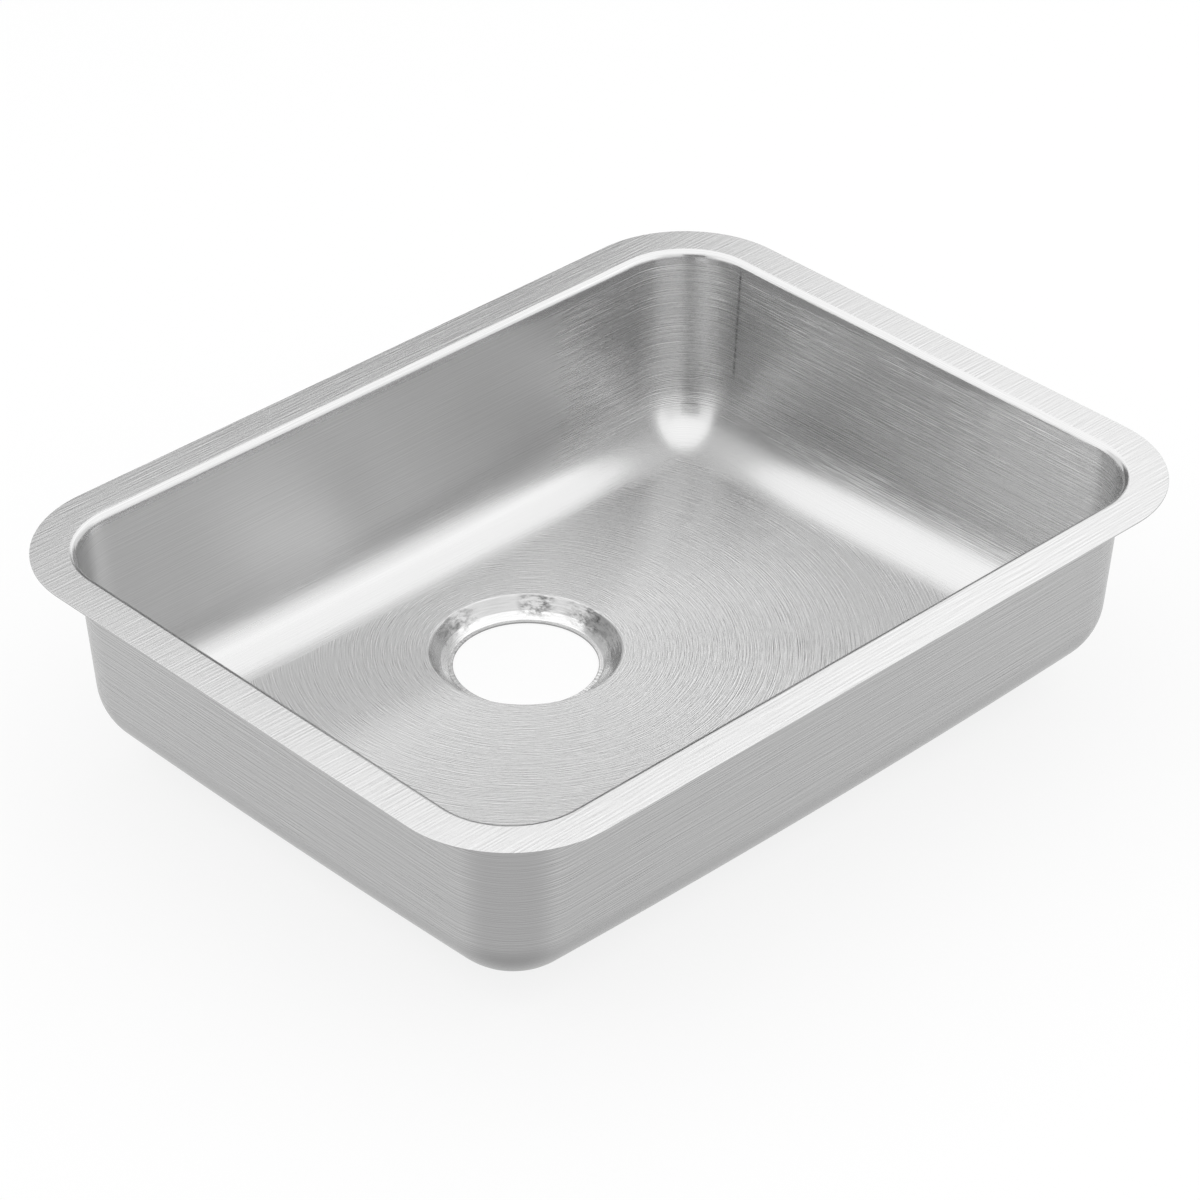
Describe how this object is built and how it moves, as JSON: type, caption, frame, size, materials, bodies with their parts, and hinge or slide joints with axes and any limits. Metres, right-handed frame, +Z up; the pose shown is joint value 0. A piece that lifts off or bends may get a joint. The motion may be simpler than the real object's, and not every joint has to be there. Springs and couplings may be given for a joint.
{
  "type": "undermount kitchen sink",
  "caption": "Rounded rectangular undermount kitchen sink with a flat rim flange, a dished floor with a pressed drain opening near the back, and sound-deadening pads beneath.",
  "frame": {"origin": "under the middle of the flange, level with the underside of the drain ledge, which is the lowest point", "axes": "+X right along the long side, +Y to the back where the drain is, +Z up out of the bowl"},
  "size_m": [0.597, 0.464, 0.1524],
  "materials": {
    "brushed_stainless": "brushed, satin",
    "pad_rubber": "matt moulded"
  },
  "bodies": {
    "root": {"sink_bowl": "brushed_stainless", "sound_pad_left": "pad_rubber", "sound_pad_right": "pad_rubber", "sound_pad_front": "pad_rubber"}
  },
  "joints": []
}
